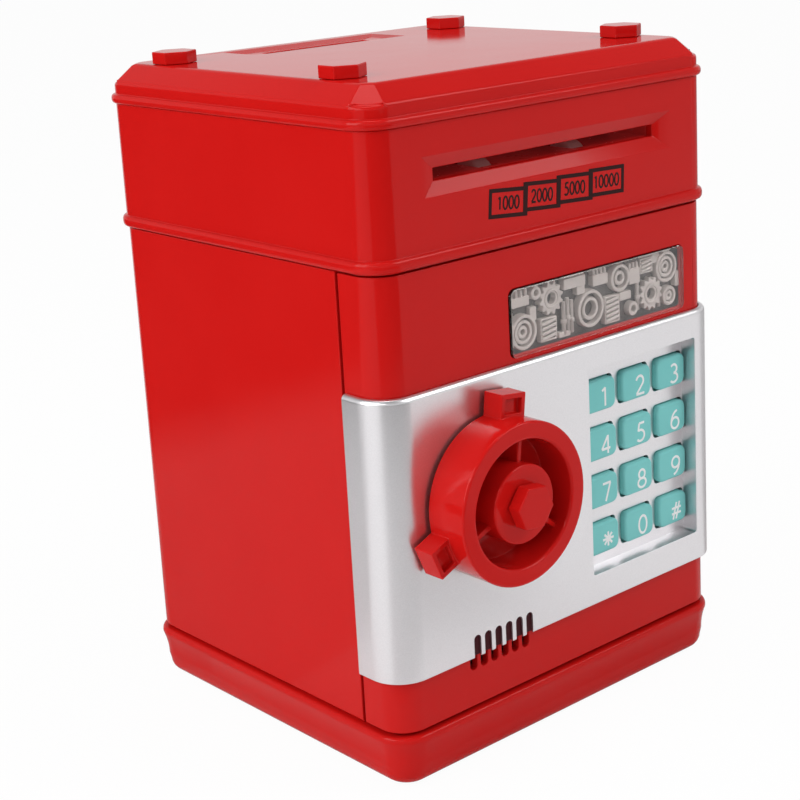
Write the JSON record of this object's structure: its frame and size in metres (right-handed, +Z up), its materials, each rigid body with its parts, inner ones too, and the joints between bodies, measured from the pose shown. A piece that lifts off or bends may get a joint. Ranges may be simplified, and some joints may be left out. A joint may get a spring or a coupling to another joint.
{
  "type": "toy cash machine savings bank",
  "caption": "Upright toy cash machine money box with hinged front door, handle dial, keypad, window, bill slot with feed rollers, top coin slot and base tray.",
  "frame": {"origin": "under the middle of the base, on the face that the bank stands on", "axes": "+Z up, front with the door faces -Y, +X to the right as seen from the front"},
  "size_m": [0.1288, 0.1354, 0.1884],
  "materials": {
    "red_shell": "high gloss moulded plastic",
    "silver_panel": "satin silver paint on plastic",
    "clear_window": "clear tinted plastic",
    "relief_grey": "satin moulded plastic",
    "aqua_keys": "matte moulded plastic",
    "black_rubber": "matte",
    "circuit_board": "satin",
    "black_plastic": "satin",
    "roller_rubber": "matte",
    "white_nylon": "satin",
    "bright_steel": "bright"
  },
  "bodies": {
    "cabinet": {"base_tray": "red_shell", "bottom_plate": "red_shell", "battery_cover": "red_shell", "battery_cover_screw": "bright_steel", "rear_case": "red_shell", "strike_plate": "bright_steel", "upper_housing": "red_shell", "top_cover": "red_shell", "feeder_frame": "black_plastic", "feed_motor": "bright_steel", "control_board": "circuit_board", "corner_bolt_1": "red_shell", "corner_bolt_2": "red_shell", "corner_bolt_3": "red_shell", "corner_bolt_4": "red_shell", "base_screw_1": "bright_steel", "base_screw_2": "bright_steel", "base_screw_3": "bright_steel", "base_screw_4": "bright_steel"},
    "door": {"door_shell": "red_shell", "front_panel": "silver_panel", "window_lens": "clear_window", "relief_plate": "relief_grey", "keypad_mat": "black_rubber", "keypad_board": "circuit_board", "speaker": "black_plastic", "lock_solenoid": "bright_steel", "door_back_cover": "red_shell", "door_cover_screw_1": "bright_steel", "door_cover_screw_2": "bright_steel", "door_cover_screw_3": "bright_steel", "door_cover_screw_4": "bright_steel"},
    "dial": {"dial_knob": "red_shell", "dial_nut": "red_shell", "dial_shaft": "bright_steel", "lock_disc": "white_nylon", "latch_tongue": "bright_steel", "shaft_ring": "bright_steel"},
    "lock_bolt": {"lock_plunger": "bright_steel"},
    "drive_rollers": {"drive_shaft": "bright_steel", "drive_roller_1": "roller_rubber", "drive_roller_2": "roller_rubber", "drive_gear": "white_nylon"},
    "pinch_rollers": {"pinch_shaft": "bright_steel", "pinch_roller_1": "roller_rubber", "pinch_roller_2": "roller_rubber"},
    "pinion": {"motor_pinion": "white_nylon"},
    "key_1_cap": {"key_1": "aqua_keys"},
    "key_2_cap": {"key_2": "aqua_keys"},
    "key_3_cap": {"key_3": "aqua_keys"},
    "key_4_cap": {"key_4": "aqua_keys"},
    "key_5_cap": {"key_5": "aqua_keys"},
    "key_6_cap": {"key_6": "aqua_keys"},
    "key_7_cap": {"key_7": "aqua_keys"},
    "key_8_cap": {"key_8": "aqua_keys"},
    "key_9_cap": {"key_9": "aqua_keys"},
    "key_star_cap": {"key_star": "aqua_keys"},
    "key_0_cap": {"key_0": "aqua_keys"},
    "key_hash_cap": {"key_hash": "aqua_keys"}
  },
  "joints": [
    {"name": "door_swing", "type": "hinge", "parent": "cabinet", "child": "door", "pos_m": [0.0585, -0.0535, 0.0164], "axis": [0, 0, 1], "range_deg": [0, 100]},
    {"name": "dial_turn", "type": "hinge", "parent": "door", "child": "dial", "pos_m": [-0.0299, -0.0599, 0.07555], "axis": [0, 1, 0], "range_deg": [0, 90]},
    {"name": "lock_slide", "type": "slide", "parent": "door", "child": "lock_bolt", "axis": [0, 0, 1], "range_m": [0, 0.003], "stiffness_N_per_m": 40},
    {"name": "feed_spin", "type": "hinge", "parent": "cabinet", "child": "drive_rollers", "pos_m": [0, -0.0452, 0.15565], "axis": [1, 0, 0], "continuous": true},
    {"name": "pinch_spin", "type": "hinge", "parent": "cabinet", "child": "pinch_rollers", "pos_m": [0, -0.0452, 0.16635], "axis": [1, 0, 0], "continuous": true},
    {"name": "pinion_spin", "type": "hinge", "parent": "cabinet", "child": "pinion", "pos_m": [0, -0.03558, 0.1489], "axis": [1, 0, 0], "continuous": true},
    {"name": "key_1_press", "type": "slide", "parent": "door", "child": "key_1_cap", "axis": [0, 1, 0], "range_m": [0, 0.0012], "stiffness_N_per_m": 250},
    {"name": "key_2_press", "type": "slide", "parent": "door", "child": "key_2_cap", "axis": [0, 1, 0], "range_m": [0, 0.0012], "stiffness_N_per_m": 250},
    {"name": "key_3_press", "type": "slide", "parent": "door", "child": "key_3_cap", "axis": [0, 1, 0], "range_m": [0, 0.0012], "stiffness_N_per_m": 250},
    {"name": "key_4_press", "type": "slide", "parent": "door", "child": "key_4_cap", "axis": [0, 1, 0], "range_m": [0, 0.0012], "stiffness_N_per_m": 250},
    {"name": "key_5_press", "type": "slide", "parent": "door", "child": "key_5_cap", "axis": [0, 1, 0], "range_m": [0, 0.0012], "stiffness_N_per_m": 250},
    {"name": "key_6_press", "type": "slide", "parent": "door", "child": "key_6_cap", "axis": [0, 1, 0], "range_m": [0, 0.0012], "stiffness_N_per_m": 250},
    {"name": "key_7_press", "type": "slide", "parent": "door", "child": "key_7_cap", "axis": [0, 1, 0], "range_m": [0, 0.0012], "stiffness_N_per_m": 250},
    {"name": "key_8_press", "type": "slide", "parent": "door", "child": "key_8_cap", "axis": [0, 1, 0], "range_m": [0, 0.0012], "stiffness_N_per_m": 250},
    {"name": "key_9_press", "type": "slide", "parent": "door", "child": "key_9_cap", "axis": [0, 1, 0], "range_m": [0, 0.0012], "stiffness_N_per_m": 250},
    {"name": "key_star_press", "type": "slide", "parent": "door", "child": "key_star_cap", "axis": [0, 1, 0], "range_m": [0, 0.0012], "stiffness_N_per_m": 250},
    {"name": "key_0_press", "type": "slide", "parent": "door", "child": "key_0_cap", "axis": [0, 1, 0], "range_m": [0, 0.0012], "stiffness_N_per_m": 250},
    {"name": "key_hash_press", "type": "slide", "parent": "door", "child": "key_hash_cap", "axis": [0, 1, 0], "range_m": [0, 0.0012], "stiffness_N_per_m": 250}
  ],
  "couplings": [
    {"joint": "pinch_spin", "follows": "feed_spin", "ratio": -1},
    {"joint": "pinion_spin", "follows": "feed_spin", "ratio": -2.8}
  ]
}
